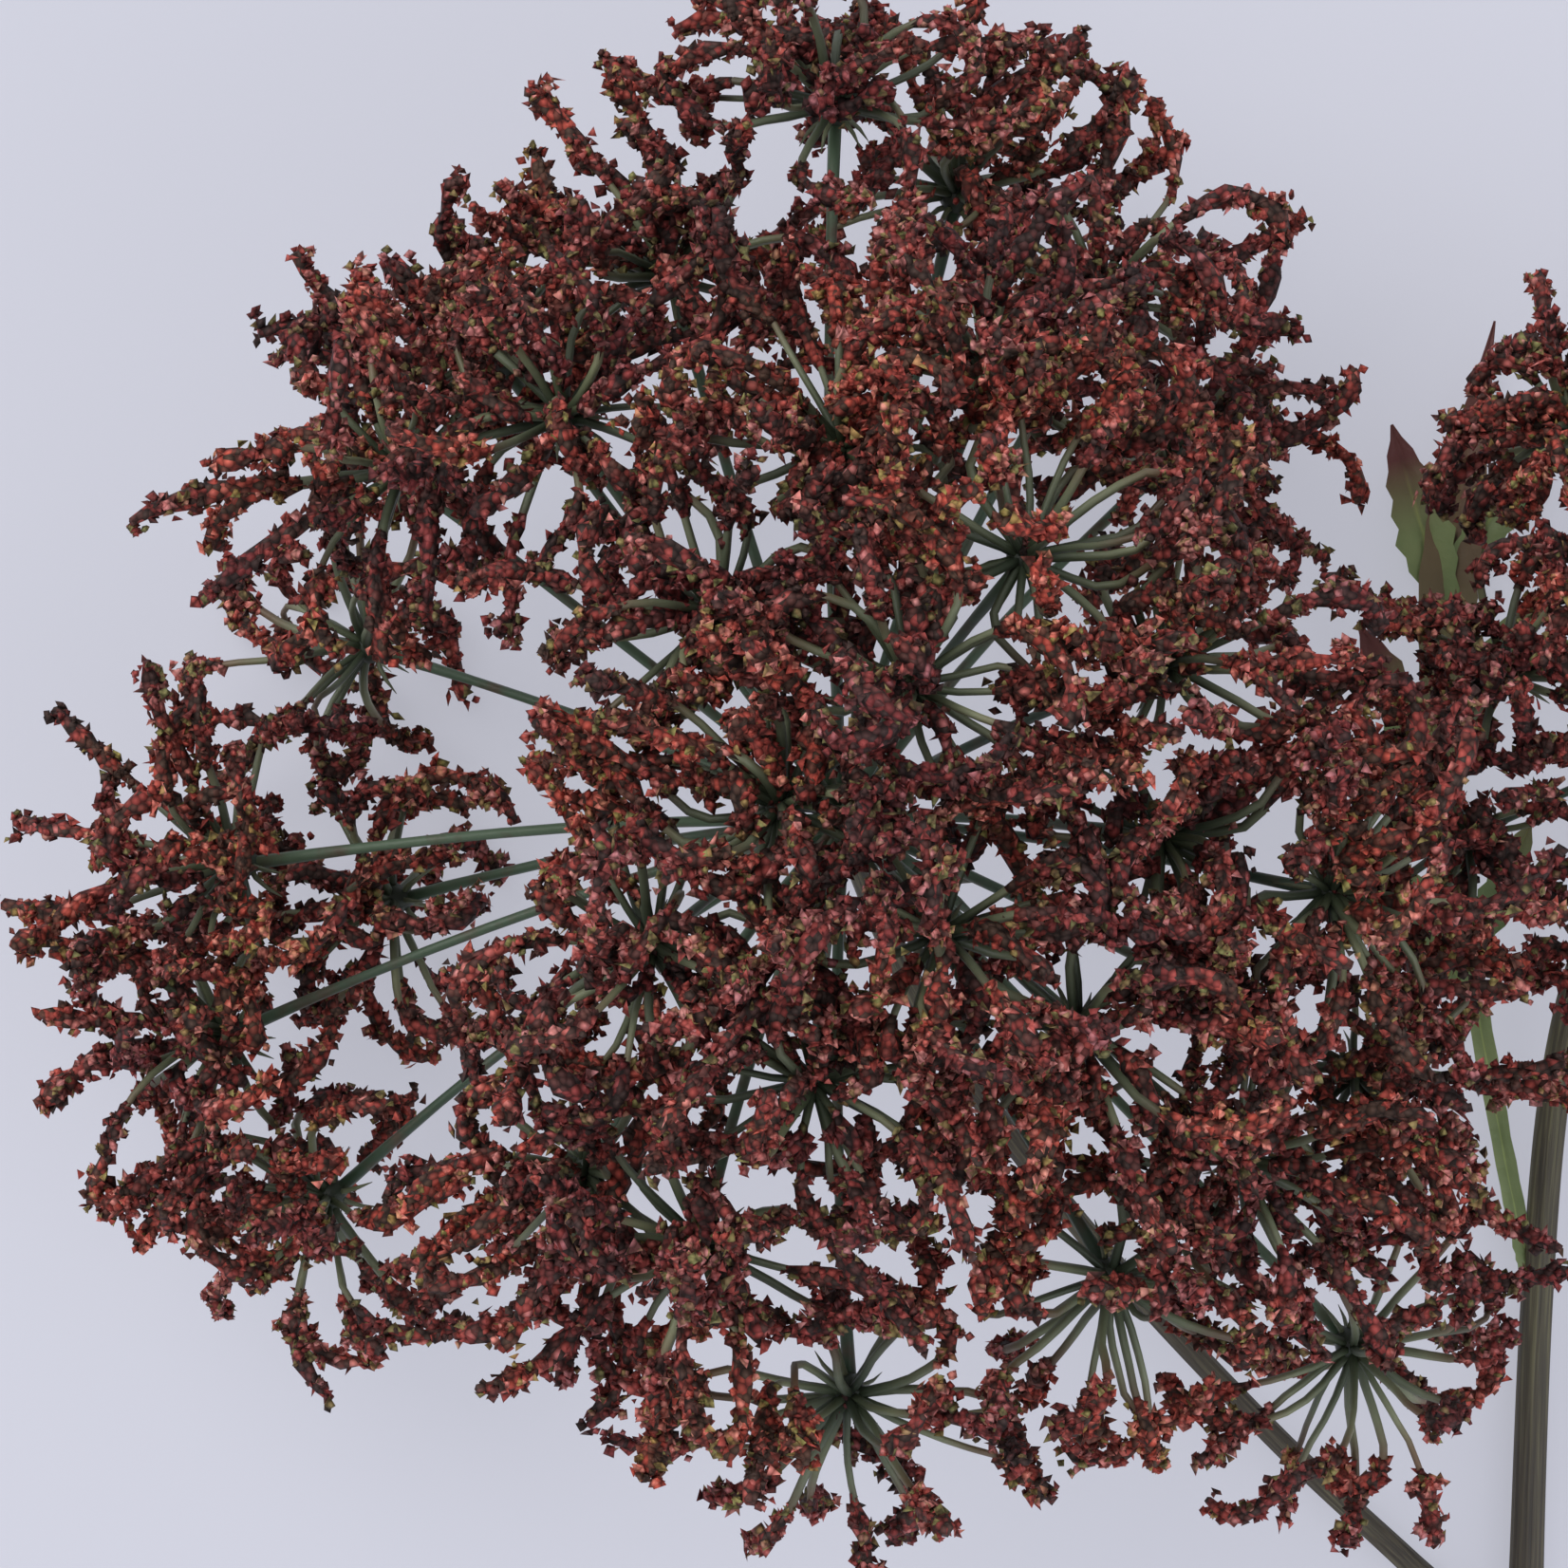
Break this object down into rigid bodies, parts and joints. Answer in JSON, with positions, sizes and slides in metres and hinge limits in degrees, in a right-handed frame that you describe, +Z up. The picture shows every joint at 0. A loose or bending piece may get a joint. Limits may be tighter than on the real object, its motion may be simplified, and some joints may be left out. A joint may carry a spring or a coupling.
{
  "type": "dried wild carrot stem",
  "caption": "Dried wild carrot, one cut branched stem with two domed seed heads of curled, crusty dark red stalks, lying flat.",
  "frame": {"origin": "on the table, at the middle of the plant's outline seen from above", "axes": "+Z up from the table, +Y along the lying stem towards the heads, +X to the side that the second head is on"},
  "size_m": [0.1868, 0.3607, 0.0951],
  "materials": {
    "stem": "satin",
    "ray": "satin",
    "leaf": "matte",
    "umbellet": "matte"
  },
  "bodies": {
    "root": {"stem": "stem", "rays_main": "ray", "rays_second": "ray", "leaf": "leaf", "umbellet_01": "umbellet", "umbellet_02": "umbellet", "umbellet_03": "umbellet", "umbellet_04": "umbellet", "umbellet_05": "umbellet", "umbellet_06": "umbellet", "umbellet_07": "umbellet", "umbellet_08": "umbellet", "umbellet_09": "umbellet", "umbellet_10": "umbellet", "umbellet_11": "umbellet", "umbellet_12": "umbellet", "umbellet_13": "umbellet", "umbellet_14": "umbellet", "umbellet_15": "umbellet", "umbellet_16": "umbellet", "umbellet_17": "umbellet", "umbellet_18": "umbellet", "umbellet_19": "umbellet", "umbellet_20": "umbellet", "umbellet_21": "umbellet", "umbellet_22": "umbellet", "umbellet_23": "umbellet", "umbellet_24": "umbellet", "umbellet_25": "umbellet", "umbellet_26": "umbellet", "umbellet_27": "umbellet", "umbellet_28": "umbellet", "umbellet_29": "umbellet", "umbellet_30": "umbellet", "umbellet_31": "umbellet", "umbellet_32": "umbellet", "umbellet_33": "umbellet", "umbellet_34": "umbellet", "umbellet_35": "umbellet", "umbellet_36": "umbellet", "umbellet_37": "umbellet", "umbellet_38": "umbellet", "umbellet_39": "umbellet", "umbellet_40": "umbellet", "umbellet_41": "umbellet", "umbellet_42": "umbellet", "umbellet_43": "umbellet", "umbellet_44": "umbellet", "umbellet_45": "umbellet", "umbellet_46": "umbellet", "umbellet_47": "umbellet"}
  },
  "joints": []
}
